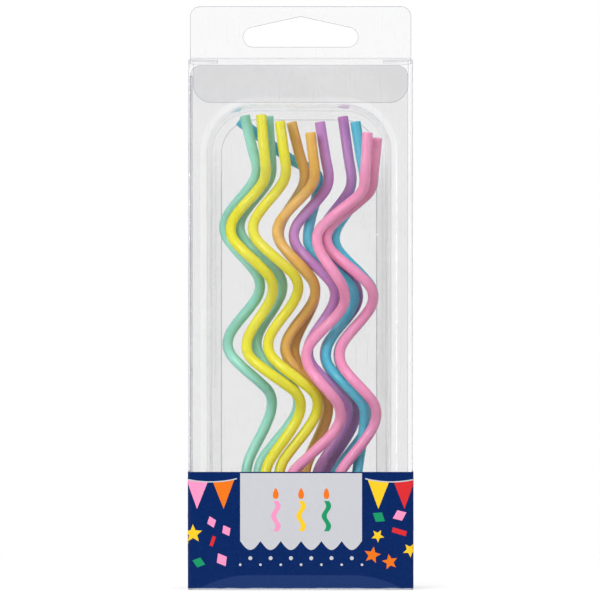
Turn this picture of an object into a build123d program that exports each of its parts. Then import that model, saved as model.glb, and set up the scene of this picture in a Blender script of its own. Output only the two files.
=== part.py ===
from build123d import *
import math
import os

# Twelve spiral birthday candles in a clear hang-tab box, in millimetres.
# The box stands on its base with +Z up and its front towards -Y.
# The origin is the middle of the base.

# Candles: wax rods coiled left-handed, packed with the wick end down
candle_diameter = 2.6
candle_gap = 0.2
wick_diameter = 0.8
wick_clearance = 0.06
wick_show = 5.0
wick_sink = 0.3
end_rounding = 0.3
coil_reach = 4.4
half_turn = 14.4
opening_turn = 18.0
tail_straight = 14.4
head_bend = 6.0
bend_share = 0.75
opening_share = 0.45

# The places below were drawn for candles that stand this far apart
drawn_step = 2.8
spread = (candle_diameter + candle_gap) / drawn_step

# One row for each candle. drop: how far its coil sits below the highest one.
# head: height of the straight head above its coil. depth: of the coil's axis, at its top and bottom.
# head_at and tail_at: place across the tray, and set-back from the coil's axis.
# turns: the places where the coil turns, right and left by turns, from the top down.
candles = {
    "mint_1": dict(drop=0.0, head=13.1, depth=(3.9, 3.8), head_at=(-13.4, -1.5),
                   turns=(-10.4, -18.4, -9.6, -17.6, -6.7), tail_at=(-13.0, 1.5)),
    "mint_2": dict(drop=0.0, head=13.0, depth=(4.6, 4.4), head_at=(-7.6, -1.5),
                   turns=(-6.8, -14.7, -4.1, -10.5, -0.2), tail_at=(-10.0, 1.5)),
    "yellow_1": dict(drop=0.6, head=13.8, depth=(0.0, -0.8), head_at=(-9.3, -1.5),
                     turns=(-8.2, -16.8, -6.4, -12.9, 0.4), tail_at=(-8.3, -0.3)),
    "yellow_2": dict(drop=0.4, head=12.0, depth=(0.0, 0.0), head_at=(-4.7, -1.5),
                     turns=(-3.2, -11.3, -0.2, -7.6, 4.6), tail_at=(-4.9, 0.5)),
    "apricot_1": dict(drop=1.6, head=13.1, depth=(4.7, 9.2), head_at=(-1.9, -1.5),
                      turns=(1.4, -5.0, 4.0, -1.2, 6.8), tail_at=(1.0, 1.5)),
    "apricot_2": dict(drop=1.2, head=10.05, depth=(0.3, 5.0), head_at=(2.8, -1.5),
                      turns=(3.9, -5.4, 4.0, -3.4, 7.2), tail_at=(1.4, 1.5)),
    "lilac_1": dict(drop=2.2, head=13.75, depth=(4.2, 4.4), head_at=(5.1, -1.5),
                    turns=(7.3, -1.3, 8.9, 2.2, 12.0), tail_at=(4.2, 1.5)),
    "lilac_2": dict(drop=2.6, head=15.65, depth=(9.2, 8.6), head_at=(10.8, -1.5),
                    turns=(13.0, 5.4, 14.6, 6.4, 14.0), tail_at=(6.0, 1.5)),
    "teal_1": dict(drop=2.8, head=14.5, depth=(6.8, 6.6), head_at=(13.9, -1.5),
                   turns=(16.2, 8.8, 18.4, 9.8, 17.8), tail_at=(8.6, 1.5)),
    "teal_2": dict(drop=2.8, head=14.8, depth=(8.2, 2.4), head_at=(-14.9, -0.3),
                   turns=(4.8, 2.2, 13.6, 6.6, 16.2), tail_at=(14.2, 1.5)),
    "pink_1": dict(drop=3.0, head=11.8, depth=(-0.6, -0.8), head_at=(16.8, -1.5),
                   turns=(16.2, 4.4, 11.3, 1.8, 10.2), tail_at=(-2.6, -1.0)),
    "pink_2": dict(drop=2.8, head=10.4, depth=(3.6, 0.0), head_at=(19.2, -1.5),
                   turns=(18.3, 6.8, 18.3, 10.0, 19.0), tail_at=(9.4, 0.0)),
}

# Tray: one clear sheet, drawn down over a mould into a flange and a candle pocket
tray_sheet = 0.35
candle_room = 0.3
pocket_draft = 5.0
pocket_corner = 9.5
floor_rounding = 2.0
rim_rounding = 2.5
flange_side = 4.2
flange_top = 9.7
flange_bottom = 5.3
flange_corner = 2.7
tray_lift = 0.5

# Box: one clear sheet, creased into a sleeve with flaps at both ends
box_sheet = 0.3
fold_radius = 0.6
crease_gap = 0.1
tray_gap_left = 0.2
tray_gap_right = 1.0
tray_gap_front = 0.2
tray_gap_back = 0.55
tray_gap_top = 1.4
tab_height = 13.75
tab_corner = 2.5
tab_side_gap = 0.1
ply_gap = 0.05
hole_lobe_radius = 2.5
hole_lobe_reach = 11.8
hole_apex_radius = 2.2
hole_apex_rise = 2.9
hole_drop = 7.6
crease_offset = 0.3
tuck_foot_gap = 0.6
tuck_corner = 4.5
tuck_side_gap = 0.8
tuck_gap = 0.8
tuck_crease_gap = 0.4
dust_length = 6.5
dust_front_gap = 2.0
dust_front_taper = 4.3
dust_back_gap = 0.8
base_tuck_gap = 1.9
base_tuck_corner = 3.4
seam_width = 7.0
seam_end_gap = 3.0

# Printed film round the foot of the box
band_film = 0.1
band_height = 28.9
band_foot = 0.3

# Candle nest, worked out from the rows above
bore_diameter = wick_diameter + 2 * wick_clearance
wax_radius = candle_diameter / 2
nest_left = min(min(row["turns"]) for row in candles.values()) * spread - wax_radius
nest_right = max(row["head_at"][0] for row in candles.values()) * spread + wax_radius
nest_front = min(min(row["depth"]) for row in candles.values()) * spread - coil_reach - wax_radius
nest_back = max(max(row["depth"]) for row in candles.values()) * spread + coil_reach + wax_radius
coil_height = 4 * half_turn
top_over_tail = max(row["head"] - row["drop"] for row in candles.values())

# Tray, built outwards from the nest
floor_half_width = max(nest_right, -nest_left)
pocket_depth = nest_back - nest_front + 2 * candle_room
draft_run = math.tan(math.radians(pocket_draft))
rim_half_width = floor_half_width + pocket_depth * draft_run
flange_half_width = rim_half_width + flange_side

# Heights, from the base upwards
base_top = box_sheet
tray_foot = base_top + tray_lift
pocket_foot = tray_foot + flange_bottom + pocket_depth * draft_run
wick_tip = pocket_foot + candle_room
wax_foot = wick_tip + wick_show
coil_top = wax_foot + tail_straight + opening_turn + coil_height
pocket_top = coil_top + top_over_tail + candle_room
tray_top = pocket_top + pocket_depth * draft_run + flange_top
lid_under = tray_top + tray_gap_top
lid_top = lid_under + box_sheet
side_top = lid_under - crease_gap
tab_top = lid_top + tab_height

# Box, built outwards from the tray
inner_width = 2 * flange_half_width + tray_gap_left + tray_gap_right
inner_depth = tray_gap_front + pocket_depth + tray_sheet + tray_gap_back
box_width = inner_width + 2 * box_sheet
box_depth = inner_depth + 2 * box_sheet
front_inside = -inner_depth / 2
back_inside = inner_depth / 2
side_inside = inner_width / 2
tray_x = (tray_gap_left - tray_gap_right) / 2
tray_front = front_inside + tray_gap_front
nest_y = tray_front + candle_room - nest_front
tray_mid_z = (tray_top + tray_foot) / 2
pocket_mid_z = (pocket_top + pocket_foot) / 2
pocket_half_height = (pocket_top - pocket_foot) / 2

# Creases of the closure
ply_front = back_inside - ply_gap - box_sheet
hinge_y = ply_front - crease_offset
hinge_z = lid_under + box_sheet / 2
tuck_front = tray_front + tray_sheet + tuck_gap
tuck_back = tuck_front + box_sheet
tuck_y = (tuck_front + tuck_back) / 2
tuck_top = hinge_z - tuck_crease_gap
tuck_length = tuck_top - (tray_top - flange_top + tuck_foot_gap)
base_tuck_foot = base_top + crease_gap
base_tuck_length = tray_foot + flange_bottom - base_tuck_gap - base_tuck_foot
dust_z = side_top - box_sheet
dust_hinge_x = side_inside - crease_gap - box_sheet / 2


def facing_front(y, x=0, z=0):
    """Plane seen from the front, with its normal towards -Y."""
    return Plane(origin=(x, y, z), x_dir=(1, 0, 0), z_dir=(0, -1, 0))


def candle_nodes(row):
    """Points of a candle's centre line with the direction of travel, from the head to the tail."""
    rise = half_turn / math.pi
    opening = opening_turn / math.pi
    places = [place * spread + tray_x for place in row["turns"]]
    first, last = row["depth"]
    levels = [coil_top - row["drop"] - half_turn * turn for turn in range(5)]
    depths = [nest_y + (first + (last - first) * turn / 4) * spread for turn in range(5)]
    head_x = row["head_at"][0] * spread + tray_x
    head_y = depths[0] + row["head_at"][1] * spread
    head_end = Vector(head_x, head_y, levels[0] + row["head"])
    straight = (Vector(places[0], head_y, levels[0]) - head_end).normalized()
    bend = head_end + straight * ((row["head"] - head_bend) / -straight.Z)
    nodes = [(head_end, straight), (bend, straight)]
    nodes.append((Vector(places[0], depths[0], levels[0]), Vector(0, coil_reach * bend_share, -rise)))
    for turn in range(4):
        side = 1 if turn % 2 == 0 else -1
        middle = Vector(
            (places[turn] + places[turn + 1]) / 2,
            (depths[turn] + depths[turn + 1]) / 2 + side * coil_reach,
            (levels[turn] + levels[turn + 1]) / 2,
        )
        nodes.append((middle, Vector((places[turn + 1] - places[turn]) / 2, 0, -rise)))
        reach = -side * coil_reach if turn < 3 else coil_reach * bend_share
        nodes.append((Vector(places[turn + 1], depths[turn + 1], levels[turn + 1]), Vector(0, reach, -rise)))
    tail_x = row["tail_at"][0] * spread + tray_x
    tail_back = row["tail_at"][1] * spread
    tail_y = depths[4] + tail_back
    tail_top = levels[4] - opening_turn
    middle = Vector(
        (places[4] + tail_x) / 2,
        depths[4] + tail_back / 2 + coil_reach * opening_share,
        (levels[4] + tail_top) / 2,
    )
    nodes.append((middle, Vector((tail_x - places[4]) / 2, tail_back / 2, -opening)))
    nodes.append((Vector(tail_x, tail_y, tail_top), Vector(0, 0, -1)))
    nodes.append((Vector(tail_x, tail_y, wax_foot), Vector(0, 0, -1)))
    return [(point, way.normalized()) for point, way in nodes]


def biarc(start, start_way, end, end_way):
    """Two arcs from start to end that keep the direction of travel at both ends."""
    span = end - start
    both = start_way + end_way
    spread_of_ways = 2 * (1 - start_way.dot(end_way))
    pull = span.dot(both)
    reach = (math.sqrt(pull**2 + spread_of_ways * span.dot(span)) - pull) / spread_of_ways
    middle = (start + end + (start_way - end_way) * reach) * 0.5
    middle_way = (end - end_way * reach) - (start + start_way * reach)
    TangentArc(start, middle, tangent=start_way)
    TangentArc(middle, end, tangent=middle_way)


def candle_line(row, head_trim=0.0, tail_extra=0.0):
    """Centre line of a candle: straight head, coil, opening half turn and straight tail."""
    nodes = candle_nodes(row)
    first, first_way = nodes[0]
    last, last_way = nodes[-1]
    nodes[0] = (first + first_way * head_trim, first_way)
    nodes[-1] = (last + last_way * tail_extra, last_way)
    with BuildLine() as line:
        Line(nodes[0][0], nodes[1][0])
        for (start, start_way), (end, end_way) in zip(nodes[1:-2], nodes[2:-1]):
            biarc(start, start_way, end, end_way)
        Line(nodes[-2][0], nodes[-1][0])
    return line.wire()


def least_gap(first, second, surface):
    """Least room between two sets of points on centre lines, less the thickness of the wax."""
    return min(math.dist(a, b) for a in first for b in second) - surface


def self_gap(points, length, surface):
    """Least room between points of one centre line that lie more than a quarter turn apart."""
    apart = int(len(points) * half_turn / length) + 1
    pairs = ((a, b) for a in range(len(points)) for b in range(a + apart, len(points)))
    return min(math.dist(points[a], points[b]) for a, b in pairs) - surface


def rounded_panel(width, height, corner, plane, thickness, corners):
    """Flat panel on a plane, with the named pair of its corners rounded."""
    with BuildPart() as panel:
        with BuildSketch(plane) as outline:
            Rectangle(width, height)
            ends = outline.vertices().group_by(Axis.Y)
            fillet(ends[-1] if corners == "top" else ends[0], corner)
        extrude(amount=thickness)
    return panel.part


def dust_flap(side, bottom):
    """Short flap folded in from a side wall, tapered so that it clears the lid and the tuck flap."""
    root = dust_hinge_x
    tip = dust_hinge_x - dust_length
    back = hinge_y - dust_back_gap
    front = tuck_back + dust_front_gap
    with BuildPart() as flap:
        with BuildSketch(Plane.XY.offset(bottom)):
            with BuildLine():
                Polyline(
                    (side * root, back),
                    (side * tip, back - dust_length),
                    (side * tip, front + dust_front_taper),
                    (side * root, front),
                    close=True,
                )
            make_face()
        extrude(amount=box_sheet)
    return flap.part


def hang_hole(plane, depth):
    """Delta-shaped hanging hole: an apex and two lobes joined by straight sides."""
    with BuildPart() as hole:
        with BuildSketch(plane):
            with Locations((-hole_lobe_reach, 0), (hole_lobe_reach, 0)):
                Circle(hole_lobe_radius)
            with Locations((0, hole_apex_rise)):
                Circle(hole_apex_radius)
            make_hull()
        extrude(amount=depth)
    return hole.part


def tray_form(skin):
    """Everything behind the tray's face, set back by skin: a block with the pocket sunk into it."""
    slant = skin / math.cos(math.radians(pocket_draft))
    front = tray_front + skin
    block_depth = pocket_depth + 2 * tray_sheet - skin
    with BuildPart() as form:
        with BuildSketch(facing_front(front, tray_x, tray_mid_z)):
            RectangleRounded(2 * flange_half_width, tray_top - tray_foot, flange_corner)
        extrude(amount=-block_depth - candle_room)
        for depth in (skin, pocket_depth + skin):
            grow = (pocket_depth - depth) * draft_run + slant
            with BuildSketch(facing_front(tray_front + depth, tray_x, pocket_mid_z)):
                RectangleRounded(
                    2 * (floor_half_width + grow),
                    2 * (pocket_half_height + grow),
                    pocket_corner + grow,
                )
        loft(mode=Mode.SUBTRACT)
        flat = form.faces().filter_by(Axis.Y).sort_by(Axis.Y)
        fillet(flat[1].edges(), floor_rounding + skin)
        flat = form.faces().filter_by(Axis.Y).sort_by(Axis.Y)
        fillet(flat[0].inner_wires()[0].edges(), rim_rounding - skin)
    return form.part


os.makedirs("parts", exist_ok=True)

# Box sleeve: four walls in one folded sheet, whose back wall runs up into the hang tab
tab_mid_z = (side_top + tab_top) / 2
tab_width = box_width - 2 * tab_side_gap
hole_z = tab_top - hole_drop
tab_inside = facing_front(back_inside, 0, tab_mid_z)
with BuildPart() as box_sleeve:
    with BuildSketch():
        RectangleRounded(box_width, box_depth, fold_radius)
        RectangleRounded(inner_width, inner_depth, fold_radius - box_sheet, mode=Mode.SUBTRACT)
    extrude(amount=side_top)
    with BuildSketch(facing_front(-box_depth / 2, 0, (side_top + lid_top) / 2)):
        Rectangle(box_width - 2 * fold_radius, lid_top - side_top)
    extrude(amount=-box_sheet)
    add(rounded_panel(tab_width, tab_top - side_top, tab_corner, tab_inside, -box_sheet, "top"))
    add(hang_hole(facing_front(back_inside - box_sheet, 0, hole_z), -3 * box_sheet), mode=Mode.SUBTRACT)
box_sleeve.part.label = "box_sleeve"
export_step(box_sleeve.part, "parts/box_sleeve.step")

# Hang tab facing: second ply of the tab, which the lid is creased to
facing_foot = lid_top + crease_gap
facing_plane = facing_front(ply_front, 0, (facing_foot + tab_top) / 2)
with BuildPart() as hang_tab_facing:
    add(rounded_panel(tab_width, tab_top - facing_foot, tab_corner, facing_plane, -box_sheet, "top"))
    add(hang_hole(facing_front(ply_front - box_sheet, 0, hole_z), -3 * box_sheet), mode=Mode.SUBTRACT)
hang_tab_facing.part.label = "hang_tab_facing"
export_step(hang_tab_facing.part, "parts/hang_tab_facing.step")

# Glue seam: strip folded from the back wall and glued inside the left wall
seam_height = dust_z - 2 * seam_end_gap
with BuildPart() as glue_seam:
    with BuildSketch(Plane.XY.offset(seam_end_gap)):
        with Locations((ply_gap - side_inside, back_inside - fold_radius)):
            Rectangle(box_sheet, seam_width, align=(Align.MIN, Align.MAX))
    extrude(amount=seam_height)
glue_seam.part.label = "glue_seam"
export_step(glue_seam.part, "parts/glue_seam.step")

# Lid, creased to the hang tab facing
lid_width = inner_width - 2 * crease_gap
with BuildPart() as lid_panel:
    with BuildSketch(Plane.XY.offset(lid_under)):
        with Locations((0, hinge_y)):
            Rectangle(lid_width, hinge_y - tuck_y - tuck_crease_gap, align=(Align.CENTER, Align.MAX))
    extrude(amount=box_sheet)
lid_panel.part.label = "lid_panel"
export_step(lid_panel.part, "parts/lid_panel.step")

# Tuck flap, which holds the lid shut behind the tray's flange
tuck_plane = facing_front(tuck_front, 0, tuck_top - tuck_length / 2)
with BuildPart() as tuck_flap:
    add(rounded_panel(lid_width - 2 * tuck_side_gap, tuck_length, tuck_corner, tuck_plane, -box_sheet, "bottom"))
tuck_flap.part.label = "tuck_flap"
export_step(tuck_flap.part, "parts/tuck_flap.step")

# Dust flaps under the lid, and over the base
dust_levels = {"dust_flap": dust_z, "base_dust_flap": base_top + crease_gap}
for flap_name, level in dust_levels.items():
    for side_name, side in (("left", -1), ("right", 1)):
        with BuildPart() as flap:
            add(dust_flap(side, level))
        flap.part.label = f"{flap_name}_{side_name}"
        export_step(flap.part, f"parts/{flap_name}_{side_name}.step")

# Base panel and its tuck flap, glued shut
with BuildPart() as base_panel:
    with BuildSketch():
        Rectangle(lid_width, inner_depth - 2 * crease_gap)
    extrude(amount=box_sheet)
base_panel.part.label = "base_panel"
export_step(base_panel.part, "parts/base_panel.step")

base_tuck_plane = facing_front(tuck_front, 0, base_tuck_foot + base_tuck_length / 2)
with BuildPart() as base_tuck_flap:
    add(
        rounded_panel(
            lid_width - 2 * tuck_side_gap, base_tuck_length, base_tuck_corner, base_tuck_plane, -box_sheet, "top"
        )
    )
base_tuck_flap.part.label = "base_tuck_flap"
export_step(base_tuck_flap.part, "parts/base_tuck_flap.step")

# Printed band: film round the foot of the front and side walls
with BuildPart() as printed_band:
    with BuildSketch(Plane.XY.offset(band_foot)):
        RectangleRounded(box_width + 2 * band_film, box_depth + 2 * band_film, fold_radius + band_film)
        RectangleRounded(box_width, box_depth, fold_radius, mode=Mode.SUBTRACT)
        with Locations((0, box_depth / 2 - fold_radius)):
            Rectangle(2 * box_width, 2 * fold_radius, align=(Align.CENTER, Align.MIN), mode=Mode.SUBTRACT)
    extrude(amount=band_height - band_foot)
printed_band.part.label = "printed_band"
export_step(printed_band.part, "parts/printed_band.step")

# Tray: the skin between its face and the same face set back by the sheet
with BuildPart() as tray:
    add(tray_form(0.0))
    add(tray_form(tray_sheet), mode=Mode.SUBTRACT)
tray.part.label = "tray"
export_step(tray.part, "parts/tray.step")

# Candles: a wax rod swept round its wick, which runs out beyond the tail
sampled = {}
for name, row in candles.items():
    centre = candle_line(row)
    with BuildPart() as wax:
        with BuildSketch(Plane(origin=centre @ 0, z_dir=centre % 0)):
            Circle(wax_radius)
            Circle(bore_diameter / 2, mode=Mode.SUBTRACT)
        sweep(path=centre)
        ends = wax.faces().filter_by(GeomType.PLANE)
        fillet([face.outer_wire().edge() for face in ends], end_rounding)
    wax.part.label = f"candle_{name}"
    export_step(wax.part, f"parts/candle_{name}.step")

    core = candle_line(row, wick_sink, wick_show)
    with BuildPart() as wick:
        with BuildSketch(Plane(origin=core @ 0, z_dir=core % 0)):
            Circle(wick_diameter / 2)
        sweep(path=core)
    wick.part.label = f"wick_{name}"
    export_step(wick.part, f"parts/wick_{name}.step")

    points = [tuple(centre @ (step / 160)) for step in range(161)]
    sampled[name] = points
    print(f"candle_{name}: {centre.length:.1f} mm of wax, "
          f"least gap to itself {self_gap(points, centre.length, candle_diameter):.2f} mm")

names = list(sampled)
pairs = [(a, b) for index, a in enumerate(names) for b in names[index + 1:]]
gaps = sorted((least_gap(sampled[a], sampled[b], candle_diameter), a, b) for a, b in pairs)
for gap, a, b in gaps[:6]:
    print(f"{a} to {b}: {gap:.2f} mm")
print(f"box {box_width:.2f} x {box_depth:.2f} x {lid_top:.2f} mm, hang tab to {tab_top:.2f} mm")
print(f"lid hinge at y {hinge_y:.3f}, z {hinge_z:.3f}; tuck crease at y {tuck_y:.3f}")
print(f"dust flap hinges at x {dust_hinge_x:.3f}, z {dust_z + box_sheet / 2:.3f}")
print(f"hang hole middle at z {hole_z:.3f}; tray {tray_foot:.2f} to {tray_top:.2f} mm high")
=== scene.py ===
"""Spiral birthday candles in a clear hang-tab box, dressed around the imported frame."""

import math

import bmesh
import bpy
from bpy.props import FloatProperty, FloatVectorProperty, IntProperty, PointerProperty
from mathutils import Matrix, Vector


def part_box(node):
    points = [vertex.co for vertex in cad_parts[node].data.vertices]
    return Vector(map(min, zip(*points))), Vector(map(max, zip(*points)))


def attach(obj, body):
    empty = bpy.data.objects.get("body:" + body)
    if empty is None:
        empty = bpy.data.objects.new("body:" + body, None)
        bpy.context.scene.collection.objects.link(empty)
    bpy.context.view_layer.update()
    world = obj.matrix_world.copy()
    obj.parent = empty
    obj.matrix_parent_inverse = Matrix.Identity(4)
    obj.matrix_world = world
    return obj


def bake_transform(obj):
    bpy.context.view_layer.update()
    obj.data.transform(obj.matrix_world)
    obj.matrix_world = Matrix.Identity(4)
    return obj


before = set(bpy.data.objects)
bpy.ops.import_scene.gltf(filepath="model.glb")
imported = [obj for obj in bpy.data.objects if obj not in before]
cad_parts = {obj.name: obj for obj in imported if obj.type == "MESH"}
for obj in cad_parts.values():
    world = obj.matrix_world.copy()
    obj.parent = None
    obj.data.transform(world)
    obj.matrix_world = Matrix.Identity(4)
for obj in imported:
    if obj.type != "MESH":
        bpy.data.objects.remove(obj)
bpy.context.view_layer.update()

bl_info = {
    "name": "Boxed spiral candles",
    "version": (1, 0, 0),
    "blender": (4, 5, 0),
    "location": "View3D > Sidebar > Candles",
    "description": "Wax, wicks, clear sheets and printed band for a boxed set of spiral candles",
    "category": "Object",
}

MM = 0.001
WHITE = (1.0, 1.0, 1.0, 1.0)
BAND_LOW, BAND_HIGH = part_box("printed_band")
LID_LOW, LID_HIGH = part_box("lid_panel")
TRAY_LOW, TRAY_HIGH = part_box("tray")
FRONT_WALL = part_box("box_sleeve")[0].y
CANDLES = [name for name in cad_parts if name.startswith("candle_")]
WICKS = [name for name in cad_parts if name.startswith("wick_")]
FILM = {
    "box": ["box_sleeve", "hang_tab_facing", "glue_seam", "base_panel", "base_tuck_flap",
            "base_dust_flap_left", "base_dust_flap_right"],
    "lid": ["lid_panel"],
    "tuck": ["tuck_flap"],
    "dust_left": ["dust_flap_left"],
    "dust_right": ["dust_flap_right"],
}

# Radius of the band's front folds, and the spacing of the cuts that let print bend round them
BAND_CORNER = 0.7 * MM
CORNER_CUT = 0.275 * MM

# Print is laid this far off the band
INK_GAP = 0.002 * MM

# What the sheets mirror: brightness by direction,
# from straight ahead of the box (-1) to straight behind it (1)
ROOM = (
    (-1.0, 0.30), (-0.94, 0.34), (-0.75, 0.80), (-0.30, 0.45),
    (0.20, 0.20), (0.80, 0.25), (0.965, 1.0), (1.0, 1.0),
)


# Node and mesh helpers

def add_node(tree, kind, values=None, **settings):
    """Adds a node, sets its properties, and fills or links the inputs named or numbered in values."""
    node = tree.nodes.new(kind)
    for key, value in settings.items():
        setattr(node, key, value)
    for key, value in (values or {}).items():
        socket = node.inputs[key]
        if isinstance(value, bpy.types.NodeSocket):
            tree.links.new(value, socket)
        else:
            socket.default_value = value
    return node


def maths(tree, operation, first, second=0.0, clamp=False):
    """One Math node, as its output socket."""
    node = add_node(tree, "ShaderNodeMath", {0: first, 1: second}, operation=operation, use_clamp=clamp)
    return node.outputs[0]


def plus(tree, first, second, clamp=False):
    return maths(tree, "ADD", first, second, clamp)


def minus(tree, first, second):
    return maths(tree, "SUBTRACT", first, second)


def times(tree, first, second):
    return maths(tree, "MULTIPLY", first, second)


def between(tree, value, low, high, start=0.0, end=1.0):
    """Value mapped smoothly from low..high to start..end, as an output socket."""
    node = add_node(
        tree, "ShaderNodeMapRange",
        {"Value": value, "From Min": low, "From Max": high, "To Min": start, "To Max": end},
        interpolation_type="SMOOTHSTEP",
    )
    return node.outputs["Result"]


def stripe(tree, value, low, high, soft):
    """1 where value lies between low and high, with soft edges, as an output socket."""
    rise = between(tree, value, low - soft, low)
    return times(tree, rise, between(tree, value, high, high + soft, 1.0, 0.0))


def noise(tree, vector, scale, detail, roughness=0.5):
    """Cloudy noise, as an output socket."""
    values = {"Vector": vector, "Scale": scale, "Detail": detail, "Roughness": roughness}
    return add_node(tree, "ShaderNodeTexNoise", values).outputs["Fac"]


def blend_colours(tree, share, first, second):
    """Colour mixed from first to second by share, as an output socket."""
    node = add_node(tree, "ShaderNodeMix", {"Factor": share, 6: first, 7: second}, data_type="RGBA")
    return node.outputs[2]


def bump_from(tree, height, strength, distance):
    """Normal that a height gives, as an output socket."""
    values = {"Height": height, "Strength": strength, "Distance": distance}
    return add_node(tree, "ShaderNodeBump", values).outputs[0]


def new_material(name):
    """Empty node material, as (material, tree)."""
    material = bpy.data.materials.new(name)
    material.use_nodes = True
    tree = material.node_tree
    tree.nodes.clear()
    return material, tree


def show(tree, shader):
    """Makes a shader the surface of its material."""
    output = tree.nodes.new("ShaderNodeOutputMaterial")
    tree.links.new(shader.outputs[0], output.inputs["Surface"])


def new_group(name, inputs, outputs):
    """Shader node group with the sockets listed, as (group, input node, output node)."""
    group = bpy.data.node_groups.new(name, "ShaderNodeTree")
    for label, kind, default in inputs:
        socket = group.interface.new_socket(name=label, in_out="INPUT", socket_type=f"NodeSocket{kind}")
        socket.default_value = default
    for label, kind in outputs:
        group.interface.new_socket(name=label, in_out="OUTPUT", socket_type=f"NodeSocket{kind}")
    return group, group.nodes.new("NodeGroupInput"), group.nodes.new("NodeGroupOutput")


def place_group(tree, group, values):
    """A shader group placed in a material with its own values."""
    return add_node(tree, "ShaderNodeGroup", values, node_tree=group)


def straight_rays(tree):
    """Masks of the rays from the lens, and of those that a sheet mirrors or passes on."""
    path = tree.nodes.new("ShaderNodeLightPath").outputs
    mirrored = maths(tree, "MAXIMUM", path["Is Glossy Ray"], path["Is Transmission Ray"])
    return path["Is Camera Ray"], mirrored


def object_coords(tree):
    return tree.nodes.new("ShaderNodeTexCoord").outputs["Object"]


def object_axes(tree):
    """X, Y and Z of the shaded point, as output sockets."""
    return add_node(tree, "ShaderNodeSeparateXYZ", {"Vector": object_coords(tree)}).outputs


def rgba(colour):
    return (*colour, 1.0)


def plain_mesh(name, points, edges=(), faces=()):
    mesh = bpy.data.meshes.new(name)
    mesh.from_pydata(points, edges, faces)
    return mesh


def link_object(name, data):
    """Object at the origin, linked to the scene."""
    thing = bpy.data.objects.new(name, data)
    bpy.context.scene.collection.objects.link(thing)
    return thing


def new_piece(name, mesh, body, material=None):
    """Links a mesh as a finished piece that rides on a body."""
    piece = link_object(name, mesh)
    if material is not None:
        mesh.materials.clear()
        mesh.materials.append(material)
    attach(piece, body)


def new_geometry(name, inputs):
    """Geometry node tree with a Geometry socket each way and the inputs listed."""
    tree = bpy.data.node_groups.new(name, "GeometryNodeTree")
    tree.interface.new_socket(name="Geometry", in_out="INPUT", socket_type="NodeSocketGeometry")
    for label, kind in inputs:
        tree.interface.new_socket(name=label, in_out="INPUT", socket_type=f"NodeSocket{kind}")
    tree.interface.new_socket(name="Geometry", in_out="OUTPUT", socket_type="NodeSocketGeometry")
    return tree, tree.nodes.new("NodeGroupInput").outputs, tree.nodes.new("NodeGroupOutput")


def finish_geometry(tree, result, material, output):
    """Ends a tree in Realize Instances and Set Material."""
    whole = add_node(tree, "GeometryNodeRealizeInstances", {"Geometry": result})
    dressed = add_node(tree, "GeometryNodeSetMaterial", {"Geometry": whole.outputs[0], "Material": material})
    tree.links.new(dressed.outputs[0], output.inputs[0])


def grown_mesh(mesh, tree, values):
    """Runs a geometry tree on a mesh with the values given, and returns the plain mesh it makes."""
    carrier = link_object(mesh.name, mesh)
    modifier = carrier.modifiers.new(tree.name, "NODES")
    modifier.node_group = tree
    for item in tree.interface.items_tree:
        if item.item_type == "SOCKET" and item.in_out == "INPUT" and item.name in values:
            modifier[item.identifier] = values[item.name]
    graph = bpy.context.evaluated_depsgraph_get()
    grown = bpy.data.meshes.new_from_object(carrier.evaluated_get(graph))
    carrier.modifiers.clear()
    bpy.data.objects.remove(carrier)
    return grown


# Settings that a user would change

def colour_setting(name, description, default):
    return FloatVectorProperty(name=name, description=description, default=default,
                               subtype="COLOR", size=3, min=0, max=1)


def share_setting(name, description, default):
    return FloatProperty(name=name, description=description, default=default, subtype="FACTOR", min=0, max=1)


def length_setting(name, description, default):
    return FloatProperty(name=name, description=description, default=default, unit="LENGTH", min=0)


class WaxSettings(bpy.types.PropertyGroup):
    mint: colour_setting("Mint", "Mint wax", (0.305, 0.690, 0.550))
    yellow: colour_setting("Yellow", "Yellow wax", (0.800, 0.715, 0.032))
    apricot: colour_setting("Apricot", "Apricot wax", (0.750, 0.415, 0.090))
    lilac: colour_setting("Lilac", "Lilac wax", (0.515, 0.238, 0.552))
    teal: colour_setting("Teal", "Teal wax", (0.085, 0.500, 0.660))
    pink: colour_setting("Pink", "Pink wax", (0.973, 0.300, 0.500))
    gloss: share_setting("Roughness", "Roughness of the wax skin", 0.24)
    glow: share_setting("Translucency", "Share of light that goes through the wax", 0.85)


class SheetSettings(bpy.types.PropertyGroup):
    film: colour_setting("Box film", "What one face of the box film lets through", (0.997, 0.997, 0.998))
    tray: colour_setting("Tray", "What one face of the tray lets through", (0.930, 0.930, 0.931))
    # The tuck flap's tint is greyer than the film's as painted shade for the flap's dark reflections
    flap: colour_setting("Tuck flap", "What one face of the tucked flap lets through", (0.940, 0.940, 0.943))
    mirror: share_setting("Mirror", "Share of light that a face mirrors straight on", 0.016)
    rim: length_setting("Cut rim", "Radius of the bead that a cut edge shows", 0.055 * MM)
    rim_solid: share_setting("Rim cover", "How solid a cut edge looks", 0.22)


class WickSettings(bpy.types.PropertyGroup):
    cotton: colour_setting("Cotton", "Colour of the wick", (0.80, 0.77, 0.69))
    braid: length_setting("Braid", "Radius that the strands wind at", 0.30 * MM)
    strand: length_setting("Strand", "Radius of one strand", 0.15 * MM)
    strands: IntProperty(name="Strands", description="Strands in the braid", default=4, min=2, max=8)
    turns: FloatProperty(name="Turns", description="Turns of a strand along the stub", default=3.2, min=0)


class PrintSettings(bpy.types.PropertyGroup):
    ground: colour_setting("Ground", "Ground colour of the band", (0.000, 0.016, 0.102))
    paper: colour_setting("Panel", "Colour of the panel and dots", (0.53, 0.535, 0.57))
    lift: length_setting("Ink", "Thickness of the print on the band", 0.03 * MM)
    pennant: length_setting("Pennant", "Width of one pennant", 5.2 * MM)
    spacing: length_setting("Confetti spacing", "Least distance between confetti", 3.8 * MM)
    seed: IntProperty(name="Seed", description="Seed of the confetti", default=7, min=0)


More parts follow.
